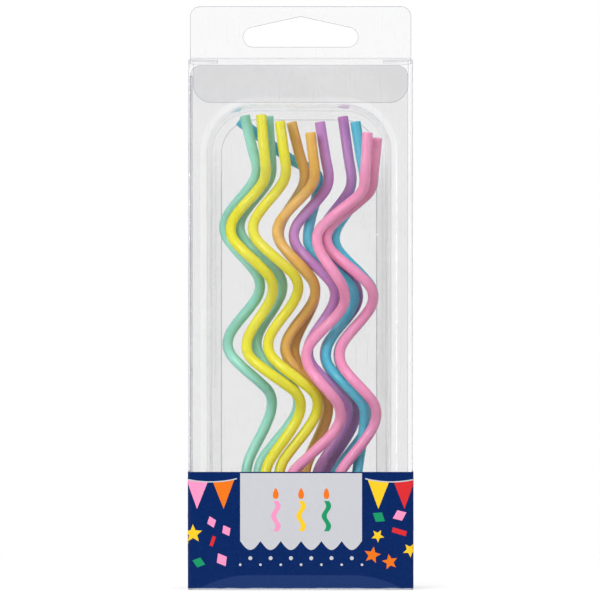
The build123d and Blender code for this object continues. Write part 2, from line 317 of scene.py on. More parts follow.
class StageSettings(bpy.types.PropertyGroup):
    distance: length_setting("Distance", "From the lens to the front wall", 1.45)
    view: length_setting("View", "Height and width seen at the front wall", 0.1468)
    aim: FloatVectorProperty(name="Aim", description="Middle of the view on the front wall", subtype="XYZ",
                             size=3, default=(-0.00016, FRONT_WALL, 0.07096), unit="LENGTH")
    fill: FloatProperty(name="Fill", description="Strength of the light from all round", default=0.84, min=0)
    key: FloatProperty(name="Key", description="Power of the front light", default=6.8, min=0, unit="POWER")
    floor_lift: FloatProperty(name="Floor lift", description="Glow that keeps the floor white to the eye",
                              default=0.58, min=0)


# Materials

def wax_grain():
    """Wax skin: cloudy colour, drawn streaks and fine pits."""
    group, given, result = new_group(
        "Wax grain",
        [("Colour", "Color", WHITE), ("Depth", "Float", 0.8), ("Roughness", "Float", 0.4)],
        [("Colour", "Color"), ("Roughness", "Float"), ("Height", "Float")],
    )
    given = given.outputs
    coords = object_coords(group)
    cloud = noise(group, coords, 260.0, 4.0)
    long_way = add_node(group, "ShaderNodeMapping", {"Vector": coords, "Scale": (2600.0, 2600.0, 180.0)})
    streak = noise(group, long_way.outputs[0], 1.0, 3.0)
    pits = noise(group, coords, 3400.0, 2.0)
    deep = add_node(group, "ShaderNodeHueSaturation",
                    {"Color": given["Colour"], "Saturation": 1.06, "Value": given["Depth"]})
    share = plus(group, times(group, cloud, 0.6), times(group, streak, 0.4))
    deeper = between(group, share, 0.38, 0.62, 0.0, 0.32)
    mixed = blend_colours(group, deeper, given["Colour"], deep.outputs["Color"])
    rough = plus(group, given["Roughness"], between(group, share, 0.35, 0.65, -0.06, 0.08))
    height = plus(group, times(group, pits, 0.4), streak)
    group.links.new(mixed, result.inputs["Colour"])
    group.links.new(rough, result.inputs["Roughness"])
    group.links.new(height, result.inputs["Height"])
    return group


def wax_material(name, colour, settings, grain):
    material, tree = new_material(f"wax_{name}")
    values = {"Colour": rgba(colour), "Depth": 0.86, "Roughness": settings.gloss}
    skin = place_group(tree, grain, values).outputs
    wax = add_node(
        tree, "ShaderNodeBsdfPrincipled",
        {
            "Base Color": skin["Colour"],
            "Roughness": skin["Roughness"],
            "Normal": bump_from(tree, skin["Height"], 0.10, 0.05 * MM),
            "Subsurface Weight": settings.glow,
            "Subsurface Radius": (1.0, 0.8, 0.7),
            "Subsurface Scale": 3.0 * MM,
            "IOR": 1.44,
        },
    )
    show(tree, wax)
    return material


def sheet_wear():
    """Handling marks of a clear sheet: faint smears, hair scratches and a slow ripple."""
    group, given, result = new_group(
        "Sheet wear",
        [("Smear", "Float", 0.02), ("Scratch", "Float", 0.1), ("Ripple", "Float", 1.0)],
        [("Haze", "Float"), ("Roughness", "Float"), ("Height", "Float")],
    )
    given = given.outputs
    coords = object_coords(group)
    smear = noise(group, coords, 55.0, 5.0, 0.6)
    turned = add_node(group, "ShaderNodeMapping",
                      {"Vector": coords, "Rotation": (0.0, 0.6, 0.0), "Scale": (4200.0, 300.0, 130.0)})
    hair = between(group, noise(group, turned.outputs[0], 1.0, 1.0), 0.70, 0.76)
    ripple = noise(group, coords, 70.0, 1.0)
    cloud = between(group, smear, 0.42, 0.75)
    haze = plus(group, times(group, cloud, given["Smear"]), times(group, hair, given["Scratch"]))
    group.links.new(haze, result.inputs["Haze"])
    group.links.new(between(group, smear, 0.3, 0.8, 0.03, 0.13), result.inputs["Roughness"])
    group.links.new(times(group, ripple, given["Ripple"]), result.inputs["Height"])
    return group


def shared_wear():
    return bpy.data.node_groups.get("Sheet wear") or sheet_wear()


def rounded_outline():
    """Distance outside a round-cornered rectangle that faces the front, and below zero inside it."""
    edges = ("Left", "Right", "Low", "High", "Corner")
    sockets = [(edge, "Float", 0.0) for edge in edges]
    group, given, result = new_group("Rounded outline", sockets, [("Distance", "Float")])
    given = given.outputs
    place = object_axes(group)

    def past(axis, low, high):
        middle = times(group, plus(group, given[low], given[high]), 0.5)
        half = times(group, minus(group, given[high], given[low]), 0.5)
        away = maths(group, "ABSOLUTE", minus(group, place[axis], middle))
        return minus(group, away, minus(group, half, given["Corner"]))

    across = past("X", "Left", "Right")
    up = past("Z", "Low", "High")
    outside = add_node(group, "ShaderNodeCombineXYZ",
                       {"X": maths(group, "MAXIMUM", across, 0.0), "Y": maths(group, "MAXIMUM", up, 0.0)})
    reach = add_node(group, "ShaderNodeVectorMath", {0: outside.outputs[0]}, operation="LENGTH")
    inside = maths(group, "MINIMUM", maths(group, "MAXIMUM", across, up), 0.0)
    total = plus(group, reach.outputs["Value"], inside)
    group.links.new(minus(group, total, given["Corner"]), result.inputs["Distance"])
    return group


def outline_distance(tree, low, high, corner):
    """Distance from the outline that two corners of a box give, as an output socket."""
    group = bpy.data.node_groups.get("Rounded outline") or rounded_outline()
    values = {"Left": low.x, "Right": high.x, "Low": low.z, "High": high.z, "Corner": corner}
    return place_group(tree, group, values).outputs["Distance"]


def sheet_surface(tree, settings, marks, tint):
    """Clear sheet: lets light straight through, mirrors more at a slant, and carries a little haze."""
    slant = add_node(tree, "ShaderNodeLayerWeight", {"Blend": 0.5}).outputs["Facing"]
    mirror = add_node(tree, "ShaderNodeMapRange",
                      {"Value": maths(tree, "POWER", slant, 5.0), "To Min": settings.mirror, "To Max": 0.96})
    clear = add_node(tree, "ShaderNodeBsdfTransparent", {"Color": tint})
    ripple = bump_from(tree, marks.outputs["Height"], 0.25, 0.6 * MM)
    gloss = add_node(tree, "ShaderNodeBsdfAnisotropic",
                     {"Color": WHITE, "Roughness": marks.outputs["Roughness"], "Normal": ripple})
    pane = add_node(tree, "ShaderNodeMixShader",
                    {0: mirror.outputs[0], 1: clear.outputs[0], 2: gloss.outputs[0]})
    film = add_node(tree, "ShaderNodeBsdfPrincipled",
                    {"Base Color": (0.86, 0.87, 0.89, 1), "Roughness": 0.35, "IOR": 1.5})
    whole = add_node(tree, "ShaderNodeMixShader",
                     {0: marks.outputs["Haze"], 1: pane.outputs[0], 2: film.outputs[0]})
    show(tree, whole)


def film_material(settings, wear):
    """Clear film of the box."""
    material, tree = new_material("clear_film")
    marks = place_group(tree, wear, {"Smear": 0.03, "Scratch": 0.05, "Ripple": 0.6})
    sheet_surface(tree, settings, marks, rgba(settings.film))
    return material


def flap_material(settings, wear):
    """Film of the tucked-in flap, tinted greyer over the tray as painted shade for the tilted flap's dark
    reflections, less so along a slanting strip of painted sheen.
    """
    material, tree = new_material("clear_flap")
    marks = place_group(tree, wear, {"Smear": 0.05, "Scratch": 0.05, "Ripple": 0.6})
    flange_corner = 2.7 * MM
    distance = outline_distance(tree, TRAY_LOW, TRAY_HIGH, flange_corner)
    # Painted shade: the flap is tinted greyer where it lies over the tray's outline
    painted_flap_shade = between(tree, distance, -0.10 * MM, 0.0, 1.0, 0.0)
    place = object_axes(tree)
    # Painted sheen: a slanting strip where the flap's painted grey is lightened by up to 30%
    slope = plus(tree, place["X"], minus(tree, place["Z"], TRAY_HIGH.z))
    painted_sheen_strip = times(tree, stripe(tree, slope, 0.0, 12.0 * MM, 6.0 * MM), 0.3)
    painted_flap_shade = times(tree, painted_flap_shade, minus(tree, 1.0, painted_sheen_strip))
    tint = blend_colours(tree, painted_flap_shade, rgba(settings.film), rgba(settings.flap))
    sheet_surface(tree, settings, marks, tint)
    return material


def tray_material(settings, wear):
    """Drawn sheet of the tray, with painted shade: dark lines at the foot and rim of its walls, fainter near
    the top, and a darker band along the lower walls, deeper on the right; and a painted highlight on the
    rim's curve.
    """
    material, tree = new_material("clear_tray")
    marks = place_group(tree, wear, {"Smear": 0.03, "Scratch": 0.03, "Ripple": 1.0})
    inset = Vector((8.0 * MM, 0.0, 9.0 * MM))
    top_inset = inset + Vector((0.0, 0.0, 4.4 * MM))
    distance = outline_distance(tree, TRAY_LOW + inset, TRAY_HIGH - top_inset, 7.7 * MM)
    place = object_axes(tree)
    # Painted shade: dark lines at the foot and rim of the walls, fainter towards the top
    foot = stripe(tree, distance, 0.55 * MM, 0.75 * MM, 0.10 * MM)
    rim = stripe(tree, distance, 3.20 * MM, 3.35 * MM, 0.10 * MM)
    # Painted shade: a darker band along the walls, deeper on the right and only lower down
    wall = stripe(tree, distance, 0.9 * MM, 3.1 * MM, 0.3 * MM)
    shade = between(tree, place["X"], -5.0 * MM, 5.0 * MM, 0.03, 0.08)
    below = between(tree, place["Z"], TRAY_HIGH.z - 32.0 * MM, TRAY_HIGH.z - 20.0 * MM, 1.0, 0.0)
    wall = times(tree, times(tree, wall, shade), below)
    lines = plus(tree, times(tree, foot, 0.24), times(tree, rim, 0.16))
    lower = plus(tree, times(tree, below, 0.45), 0.55)
    dark = plus(tree, times(tree, lines, lower), wall, clamp=True)
    # Painted highlight: the tray's grey is cleared towards the film's tint along the rim's curve
    painted_curve_highlight = times(tree, stripe(tree, distance, 4.0 * MM, 5.2 * MM, 0.7 * MM), 0.45)
    sheet = blend_colours(tree, painted_curve_highlight, rgba(settings.tray), rgba(settings.film))
    tint = blend_colours(tree, dark, sheet, (0.10, 0.10, 0.12, 1))
    sheet_surface(tree, settings, marks, tint)
    return material


def rim_material(settings, wear):
    """Cut edge of a clear sheet, frosted by the knife, and fainter on the lid and the hang tab."""
    material, tree = new_material("sheet_rim")
    marks = place_group(tree, wear, {"Smear": 0.12, "Scratch": 0.1, "Ripple": 0.0})
    faint = 0.4 * settings.rim_solid
    solid = between(tree, object_axes(tree)["Z"], TRAY_HIGH.z, LID_LOW.z, settings.rim_solid, faint)
    cover = plus(tree, marks.outputs["Haze"], solid, clamp=True)
    clear = add_node(tree, "ShaderNodeBsdfTransparent", {"Color": (0.93, 0.93, 0.95, 1)})
    frost = add_node(tree, "ShaderNodeBsdfPrincipled",
                     {"Base Color": (0.50, 0.51, 0.55, 1), "Roughness": 0.3, "IOR": 1.5})
    whole = add_node(tree, "ShaderNodeMixShader", {0: cover, 1: clear.outputs[0], 2: frost.outputs[0]})
    show(tree, whole)
    return material


def ink_surface(tree, tone, marks, roughness):
    """Ink on film: a colour, with the film's ripple and handling marks in its gloss."""
    ink = add_node(
        tree, "ShaderNodeBsdfPrincipled",
        {
            "Base Color": tone,
            "Roughness": plus(tree, marks.outputs["Haze"], roughness),
            "Normal": bump_from(tree, marks.outputs["Height"], 0.2, 0.4 * MM),
            "IOR": 1.5,
            "Specular IOR Level": 0.08,
        },
    )
    show(tree, ink)


def ink_material(name, colour, wear):
    """Printed ink with a fine screen grain."""
    material, tree = new_material(name)
    grain = noise(tree, object_coords(tree), 2600.0, 3.0)
    marks = place_group(tree, wear, {"Smear": 0.06, "Scratch": 0.08, "Ripple": 1.0})
    pale = tuple(min(1.0, channel * 1.04 + 0.001) for channel in colour)
    tone = blend_colours(tree, between(tree, grain, 0.35, 0.65), rgba(colour), rgba(pale))
    ink_surface(tree, tone, marks, 0.32)
    return material


def band_material(settings, wear):
    """Navy ground of the band, with a painted sheen where the base flap presses behind it, and worn along
    the base fold.
    """
    material, tree = new_material("band_ground")
    coords = object_coords(tree)
    place = object_axes(tree)
    # Painted sheen: the ground is lightened below the base flap's outline, which has rounded corners
    flap_height = 3.75 * MM
    flap_flat = 12.5 * MM
    flap_curve = 3.6 * MM / (13.0 * MM) ** 2
    across = maths(tree, "ABSOLUTE", place["X"])
    past = maths(tree, "MAXIMUM", minus(tree, across, flap_flat), 0.0)
    corner = times(tree, maths(tree, "POWER", past, 2.0), flap_curve)
    above = minus(tree, place["Z"], minus(tree, flap_height, corner))
    flap = times(tree, between(tree, above, -0.35 * MM, 0.10 * MM, 1.0, 0.0), 0.11)
    grain = noise(tree, coords, 2400.0, 3.0)
    ragged = noise(tree, coords, 240.0, 5.0)
    fold = plus(tree, place["Z"], times(tree, ragged, -0.5 * MM))
    worn = between(tree, fold, 0.08 * MM, 0.30 * MM, 0.6, 0.0)
    marks = place_group(tree, wear, {"Smear": 0.10, "Scratch": 0.10, "Ripple": 1.0})
    lit = tuple(channel * 1.25 + 0.004 for channel in settings.ground)
    speckle = between(tree, grain, 0.35, 0.65, 0.0, 0.5)
    ground = blend_colours(tree, speckle, rgba(settings.ground), rgba(lit))
    # Paler blue of the painted sheen, mixed in by the flap mask
    behind = blend_colours(tree, flap, ground, (0.10, 0.18, 0.42, 1))
    ink_surface(tree, blend_colours(tree, worn, behind, (0.62, 0.66, 0.76, 1)), marks, 0.26)
    return material


def cotton_material(settings):
    """Waxed cotton strand, fibrous and slightly yellowed."""
    material, tree = new_material("cotton_braid")
    fibre = noise(tree, object_coords(tree), 9000.0, 3.0)
    dark = rgba(tuple(channel * 0.72 for channel in settings.cotton))
    tone = blend_colours(tree, between(tree, fibre, 0.35, 0.65), rgba(settings.cotton), dark)
    cotton = add_node(tree, "ShaderNodeBsdfPrincipled",
                      {"Base Color": tone, "Roughness": between(tree, fibre, 0.3, 0.7, 0.6, 0.85),
                       "Normal": bump_from(tree, fibre, 0.5, 0.04 * MM)})
    show(tree, cotton)
    return material


def dress(nodes, material):
    """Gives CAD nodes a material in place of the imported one."""
    for name in nodes:
        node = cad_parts[name]
        node.data.materials.clear()
        node.data.materials.append(material)


# Pieces

class CANDLES_OT_wax(bpy.types.Operator):
    """Give each wax rod its colour"""

    bl_idname = "candles.wax"
    bl_label = "Wax rods"

    def execute(self, context):
        settings = context.scene.candle_wax
        grain = wax_grain()
        colours = sorted({name.split("_")[1] for name in CANDLES})
        for colour in colours:
            rods = [name for name in CANDLES if name.split("_")[1] == colour]
            dress(rods, wax_material(colour, getattr(settings, colour), settings, grain))
        return {"FINISHED"}


class CANDLES_OT_wicks(bpy.types.Operator):
    """Braid the wick stubs that show below the wax"""

    bl_idname = "candles.wicks"
    bl_label = "Braided wicks"

    def execute(self, context):
        settings = context.scene.candle_wicks
        cotton = cotton_material(settings)
        dress(WICKS, cotton)
        feet = []
        wax_foot = min(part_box(name)[0].z for name in CANDLES)
        for name in WICKS:
            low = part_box(name)[0]
            stub = [v.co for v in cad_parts[name].data.vertices if v.co.z < low.z + 0.5 * MM]
            middle = sum(stub, Vector()) / len(stub)
            feet.append((middle.x, middle.y, low.z))
        mesh = grown_mesh(plain_mesh("wick_feet", feet), self.braid_tree(), {
            "Height": wax_foot - min(foot[2] for foot in feet),
            "Radius": settings.braid,
            "Strand": settings.strand,
            "Strands": settings.strands,
            "Turns": settings.turns,
            "Material": cotton,
        })
        new_piece("wick_braids", mesh, "tray")
        return {"FINISHED"}

    def braid_tree(self):
        """Strands wound round an upright line at each point."""
        tree, given, output = new_geometry(
            "Braided stub",
            [("Height", "Float"), ("Radius", "Float"), ("Strand", "Float"), ("Strands", "Int"),
             ("Turns", "Float"), ("Material", "Material")],
        )
        spiral = add_node(tree, "GeometryNodeCurveSpiral",
                          {"Resolution": 20, "Rotations": given["Turns"], "Start Radius": given["Radius"],
                           "End Radius": given["Radius"], "Height": given["Height"]})
        round_strand = add_node(tree, "GeometryNodeCurvePrimitiveCircle",
                                {"Resolution": 7, "Radius": given["Strand"]}, mode="RADIUS")
        strand = add_node(tree, "GeometryNodeCurveToMesh",
                          {"Curve": spiral.outputs[0], "Profile Curve": round_strand.outputs[0],
                           "Fill Caps": True})
        ring = add_node(tree, "GeometryNodeMeshLine", {"Count": given["Strands"], "Offset": (0.0, 0.0, 0.0)})
        index = tree.nodes.new("GeometryNodeInputIndex")
        step = maths(tree, "DIVIDE", math.tau, given["Strands"])
        turn = add_node(tree, "ShaderNodeCombineXYZ", {"Z": times(tree, index.outputs[0], step)})
        braid = add_node(tree, "GeometryNodeInstanceOnPoints",
                         {"Points": ring.outputs[0], "Instance": strand.outputs[0],
                          "Rotation": turn.outputs[0]})
        place = add_node(tree, "GeometryNodeInstanceOnPoints",
                         {"Points": given["Geometry"], "Instance": braid.outputs[0]})
        finish_geometry(tree, place.outputs[0], given["Material"], output)
        return tree


class CANDLES_OT_sheets(bpy.types.Operator):
    """Make the box and the tray clear, and bead their cut edges"""

    bl_idname = "candles.sheets"
    bl_label = "Clear sheets"

    def execute(self, context):
        settings = context.scene.candle_sheets
        wear = shared_wear()
        film = film_material(settings, wear)
        dress([name for names in FILM.values() for name in names], film)
        dress(["tuck_flap"], flap_material(settings, wear))
        dress(["tray"], tray_material(settings, wear))
        tree = self.rim_tree()
        values = {"Radius": settings.rim, "Sharpness": 0.9, "Material": rim_material(settings, wear)}
        for body, names in (*FILM.items(), ("tray", ["tray"])):
            outline = bmesh.new()
            for name in names:
                outline.from_mesh(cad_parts[name].data)
            self.open_creases(outline, body)
            mesh = bpy.data.meshes.new(f"{body}_rims")
            outline.to_mesh(mesh)
            outline.free()
            new_piece(f"{body}_rims", grown_mesh(mesh, tree, values), body)
        every_edge = {**values, "Sharpness": -1.0}
        new_piece("box_folds", grown_mesh(self.fold_lines(), tree, every_edge), "box")
        self.join_creases(film)
        return {"FINISHED"}

    def rim_tree(self):
        """Beads along the edges that are sharper than an angle."""
        tree, given, output = new_geometry(
            "Cut rim", [("Radius", "Float"), ("Sharpness", "Float"), ("Material", "Material")])
        whole = add_node(tree, "GeometryNodeMergeByDistance",
                         {"Geometry": given["Geometry"], "Distance": 0.002 * MM})
        angle = tree.nodes.new("GeometryNodeInputMeshEdgeAngle")
        sharp = add_node(tree, "FunctionNodeCompare",
                         {0: angle.outputs["Unsigned Angle"], 1: given["Sharpness"]},
                         operation="GREATER_THAN")
        line = add_node(tree, "GeometryNodeMeshToCurve",
                        {"Mesh": whole.outputs[0], "Selection": sharp.outputs[0]})
        bead = add_node(tree, "GeometryNodeCurvePrimitiveCircle",
                        {"Resolution": 6, "Radius": given["Radius"]}, mode="RADIUS")
        tube = add_node(tree, "GeometryNodeCurveToMesh",
                        {"Curve": line.outputs[0], "Profile Curve": bead.outputs[0], "Fill Caps": True})
        finish_geometry(tree, tube.outputs[0], given["Material"], output)
        return tree

    def open_creases(self, outline, body):
        """Takes off a flap's narrow end faces at its creases, which are folds and not cut edges."""
        creases = {
            "lid": ((1, LID_LOW.y), (1, LID_HIGH.y)),
            "tuck": ((2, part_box("tuck_flap")[1].z),),
            "dust_left": ((0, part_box("dust_flap_left")[0].x),),
            "dust_right": ((0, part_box("dust_flap_right")[1].x),),
        }
        for axis, place in creases.get(body, ()):
            ends = [face for face in outline.faces
                    if all(abs(vert.co[axis] - place) < 0.01 * MM for vert in face.verts)]
            bmesh.ops.delete(outline, geom=ends, context="FACES_ONLY")

    def fold_lines(self):
        """One upright line at each of the sleeve's four folds."""
        low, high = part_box("box_sleeve")
        inset = 0.18 * MM
        ends = [(x, y, z) for x in (low.x + inset, high.x - inset) for y in (low.y + inset, high.y - inset)
                for z in (low.z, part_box("dust_flap_left")[1].z)]
        return plain_mesh("fold_lines", ends, [(0, 1), (2, 3), (4, 5), (6, 7)])

    def join_creases(self, film):
        """Bent strips of film across the creases, where the panels leave a narrow gap."""
        tuck_low, tuck_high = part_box("tuck_flap")
        ply_low, ply_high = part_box("hang_tab_facing")
        lid_z = (LID_LOW.z + LID_HIGH.z) / 2
        tuck_y = (tuck_low.y + tuck_high.y) / 2
        ply_y = (ply_low.y + ply_high.y) / 2
        self.crease("tuck_crease_strip", ("lid", "tuck"), (tuck_low.x, tuck_high.x), film,
                    Vector((0, LID_LOW.y, lid_z)), Vector((0, tuck_y, lid_z)),
                    Vector((0, tuck_y, tuck_high.z)))
        self.crease("lid_crease_strip", ("box", "lid"), (LID_LOW.x, LID_HIGH.x), film,
                    Vector((0, ply_y, ply_low.z)), Vector((0, ply_y, lid_z)),
                    Vector((0, LID_HIGH.y, lid_z)))

    def crease(self, name, bodies, ends, film, start, bend, end):
        """Strip from start to end, rounded towards bend."""
        steps = 8
        half_sheet = 0.15 * MM
        shares = [step / steps for step in range(steps + 1)]
        path = [start.lerp(bend, share).lerp(bend.lerp(end, share), share) for share in shares]
        across = Vector((1, 0, 0))
        section = []
        for side in (half_sheet, -half_sheet):
            row = []
            for number, point in enumerate(path):
                ahead = path[min(number + 1, steps)] - path[max(number - 1, 0)]
                row.append(point + across.cross(ahead).normalized() * side)
            section += row if side > 0 else row[::-1]
        count = len(section)
        verts = [point + across * x for x in ends for point in section]
        sides = [(k, (k + 1) % count, count + (k + 1) % count, count + k) for k in range(count)]
        caps = [(k, k + 1, count - 2 - k, count - 1 - k) for k in range(steps)]
        far_caps = [tuple(count + index for index in reversed(cap)) for cap in caps]
        strip = link_object(name, plain_mesh(name, verts, [], sides + caps + far_caps))
        strip.data.materials.append(film)
        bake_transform(strip)


def wrapped(u, v, lift):
    """Point on the band: u along it from the middle of the front, v up, lift off its face."""
    flat = BAND_HIGH.x - BAND_CORNER
    side = math.copysign(1.0, u)
    past = abs(u) - flat
    arc = BAND_CORNER * math.pi / 2
    if past <= 0:
        return Vector((u, BAND_LOW.y - lift, v))
    if past < arc:
        turn = past / BAND_CORNER
        reach = BAND_CORNER + lift
        x = side * (flat + reach * math.sin(turn))
        return Vector((x, BAND_LOW.y + BAND_CORNER - reach * math.cos(turn), v))
    return Vector((side * (BAND_HIGH.x + lift), BAND_LOW.y + BAND_CORNER + past - arc, v))


def wrap_print(shape, lift):
    """Cuts flat faces fine across the band's corners, gives them the ink's thickness and wraps them."""
    for side in (-1, 1):
        for step in range(5):
            geometry = shape.verts[:] + shape.edges[:] + shape.faces[:]
            plane = side * (BAND_HIGH.x - BAND_CORNER + step * CORNER_CUT)
            bmesh.ops.bisect_plane(shape, geom=geometry, plane_co=(plane, 0, 0), plane_no=(1, 0, 0))
    bmesh.ops.recalc_face_normals(shape, faces=shape.faces[:])
    raised = bmesh.ops.extrude_face_region(shape, geom=shape.faces[:], use_keep_orig=True)
    for item in raised["geom"]:
        if isinstance(item, bmesh.types.BMVert):
            item.co.z += lift
    for vert in shape.verts:
        vert.co = wrapped(vert.co.x, vert.co.y, vert.co.z + INK_GAP)
    bmesh.ops.recalc_face_normals(shape, faces=shape.faces[:])


def print_piece(name, outlines, lift, ink):
    """Piece made of flat outlines in band coordinates, raised by lift and wrapped onto the band."""
    shape = bmesh.new()
    for outline in outlines:
        shape.faces.new([shape.verts.new((u, v, 0.0)) for u, v in outline])
    wrap_print(shape, lift)
    mesh = bpy.data.meshes.new("print")
    shape.to_mesh(mesh)
    shape.free()
    new_piece(name, mesh, "box", ink)


def swag(u, start, end, top, sag):
    """Height of a hanging string between two pins."""
    share = (u - start) / (end - start)
    return top - 4 * sag * share * (1 - share)


class CANDLES_OT_band(bpy.types.Operator):
    """Print the foot band: ground, panel, pennants, confetti and dots"""

    bl_idname = "candles.band"
    bl_label = "Printed band"

    def execute(self, context):
        settings = context.scene.candle_print
        wear = shared_wear()
        dress(["printed_band"], band_material(settings, wear))
        inks = {
            "yellow": ink_material("ink_yellow", (0.87, 0.55, 0.02), wear),
            "pink": ink_material("ink_pink", (0.86, 0.28, 0.50), wear),
            "red": ink_material("ink_red", (0.64, 0.025, 0.03), wear),
            "orange": ink_material("ink_orange", (0.80, 0.17, 0.01), wear),
            "green": ink_material("ink_green", (0.01, 0.28, 0.12), wear),
        }
        paper = ink_material("ink_white", settings.paper, wear)
        self.print_panel(inks, paper, settings.lift)
        self.print_bunting(settings, inks, paper)
        self.print_confetti(settings, inks)
        return {"FINISHED"}

    def print_panel(self, inks, paper, lift):
        """Pale panel with a scalloped foot, three plain candles on it, and a zigzag of dots below."""
        left = -14.8 * MM
        right = 15.0 * MM
        top = 28.6 * MM
        foot = 12.0 * MM
        scallop = 2.2 * MM
        scallops = 6
        fine = 12
        edge = []
        for step in range(scallops * fine + 1):
            drop = scallop * abs(math.sin(math.pi * step / fine))
            edge.append((left + (right - left) * step / (scallops * fine), foot - drop))
        print_piece("label_panel", [edge + [(right, top), (left, top)]], lift, paper)
        for place, colour in ((-6.2 * MM, "pink"), (0.0, "yellow"), (6.2 * MM, "green")):
            u = (left + right) / 2 + place
            rod = self.wavy_rod(u, 14.4 * MM, 7.4 * MM)
            print_piece(f"label_candle_{colour}", [rod], 2 * lift, inks[colour])
            flame = self.flame(u, 22.3 * MM, 2.6 * MM)
            print_piece(f"label_flame_{colour}", [flame], 2 * lift, inks["orange"])
        dots = []
        for step in range(2 * scallops + 1):
            u = left + (right - left) * step / (2 * scallops)
            dots.append(self.dot(u, 7.8 * MM, 0.48 * MM) if step % 2 else self.dot(u, 6.2 * MM, 0.32 * MM))
        print_piece("label_dots", dots, lift, paper)

    def dot(self, u, v, radius):
        """Outline of a round dot."""
        turns = [step * math.pi / 8 for step in range(16)]
        return [(u + radius * math.cos(turn), v + radius * math.sin(turn)) for turn in turns]

    def wavy_rod(self, u, foot, height):
        """Outline of a wavy candle, one and a half waves high."""
        half = 0.62 * MM
        sway = 0.55 * MM
        steps = 28
        middle = [(u + sway * math.sin(3 * math.pi * step / steps), foot + height * step / steps)
                  for step in range(steps + 1)]
        return [(x + half, z) for x, z in middle] + [(x - half, z) for x, z in reversed(middle)]

    def flame(self, u, foot, height):
        """Outline of a pointed flame."""
        steps = 24
        shape = []
        for step in range(steps):
            turn = math.tau * step / steps
            width = 0.34 * height * math.sin(turn) * (0.5 + 0.5 * math.cos(turn / 2) ** 2)
            shape.append((u + width, foot + height * (0.5 - 0.5 * math.cos(turn))))
        return shape

    def print_bunting(self, settings, inks, paper):
        """Pennants on hanging strings beside the panel and round the sides."""
        width = settings.pennant
        string_top = 27.4 * MM
        pennant_top = 27.2 * MM
        sag = 0.8 * MM
        thread = 0.28 * MM
        fine = 20
        order = list(inks)
        pennants = {colour: [] for colour in order}
        strings = []
        count = 0
        for start, end in ((-47.0, -28.6), (-28.6, -15.6), (15.8, 28.6), (28.6, 47.0)):
            start, end = start * MM, end * MM
            along = [start + (end - start) * step / fine for step in range(fine + 1)]
            upper = [(u, swag(u, start, end, string_top, sag)) for u in along]
            strings.append(upper + [(u, v - thread) for u, v in reversed(upper)])
            number = int((end - start) / (width * 1.04))
            gap = (end - start - number * width) / number
            for step in range(number):
                u = start + gap / 2 + step * (width + gap)
                left, tip, right = [(x, swag(x, start, end, pennant_top, sag))
                                    for x in (u, u + width / 2, u + width)]
                pennant = [left, (tip[0], tip[1] - 1.3 * width), right]
                pennants[order[(2 * count) % len(order)]].append(pennant)
                count += 1
        for colour, outlines in pennants.items():
            print_piece(f"pennants_{colour}", outlines, settings.lift, inks[colour])
        print_piece("pennant_strings", strings, 2 * settings.lift, paper)

    def print_confetti(self, settings, inks):
        """Stars, lozenges and strips scattered over the ground, one layer for each ink."""
        fields = [(-47.0, 6.6, -17.2, 18.6), (17.3, 6.6, 47.0, 18.6)]
        corners = [(u * MM, v * MM, 0.0) for left, low, right, high in fields
                   for u, v in ((left, low), (right, low), (right, high), (left, high))]
        tree = self.confetti_tree()
        for number, (colour, ink) in enumerate(inks.items()):
            outline = [(u, v, 0.0) for u, v in self.flake_outline(number)]
            flake = link_object("flake", plain_mesh("flake", outline, [], [tuple(range(len(outline)))]))
            field = plain_mesh("confetti_field", corners, [], [(0, 1, 2, 3), (4, 5, 6, 7)])
            mesh = grown_mesh(field, tree, {
                "Spacing": settings.spacing,
                "Seed": settings.seed,
                "Inks": len(inks),
                "Pick": number,
                "Flake": flake,
                "Material": ink,
            })
            bpy.data.objects.remove(flake)
            flakes = bmesh.new()
            flakes.from_mesh(mesh)
            wrap_print(flakes, settings.lift)
            flakes.to_mesh(mesh)
            flakes.free()
            new_piece(f"confetti_{colour}", mesh, "box")

    def confetti_tree(self):
        """Flakes at scattered points, of which one ink takes its share."""
        tree, given, output = new_geometry(
            "Confetti",
            [("Spacing", "Float"), ("Seed", "Int"), ("Inks", "Int"), ("Pick", "Int"), ("Flake", "Object"),
             ("Material", "Material")],
        )
        spread = add_node(tree, "GeometryNodeDistributePointsOnFaces",
                          {"Mesh": given["Geometry"], "Distance Min": given["Spacing"],
                           "Density Max": 400000.0, "Seed": given["Seed"]}, distribute_method="POISSON")
        turn = add_node(tree, "FunctionNodeRandomValue",
                        {0: (0.0, 0.0, 0.0), 1: (0.0, 0.0, math.tau), "Seed": given["Seed"]},
                        data_type="FLOAT_VECTOR")
        size = add_node(tree, "FunctionNodeRandomValue", {2: 0.75, 3: 1.15, "Seed": given["Seed"]},
                        data_type="FLOAT")
        index = tree.nodes.new("GeometryNodeInputIndex")
        share = maths(tree, "MODULO", index.outputs[0], given["Inks"])
        chosen = maths(tree, "COMPARE", share, given["Pick"])
        flake = add_node(tree, "GeometryNodeObjectInfo", {"Object": given["Flake"]})
        scatter = add_node(tree, "GeometryNodeInstanceOnPoints",
                           {"Points": spread.outputs["Points"], "Selection": chosen,
                            "Instance": flake.outputs["Geometry"], "Rotation": turn.outputs[0],
                            "Scale": size.outputs[1]})
        finish_geometry(tree, scatter.outputs[0], given["Material"], output)
        return tree

    def flake_outline(self, number):
        """Star, lozenge or strip, by turns."""
        if number % 3 == 0:
            tips = 5
            reach = (2.1 * MM, 0.95 * MM)
            turns = [step * math.pi / tips for step in range(2 * tips)]
            return [(reach[step % 2] * math.sin(turn), reach[step % 2] * math.cos(turn))
                    for step, turn in enumerate(turns)]
        if number % 3 == 1:
            return [(-1.3 * MM, 0.0), (0.0, -1.7 * MM), (1.3 * MM, 0.0), (0.0, 1.7 * MM)]
        half_length = 1.6 * MM
        half_width = 0.55 * MM
        return [(-half_length, -half_width), (half_length, -half_width),
                (half_length, half_width), (-half_length, half_width)]


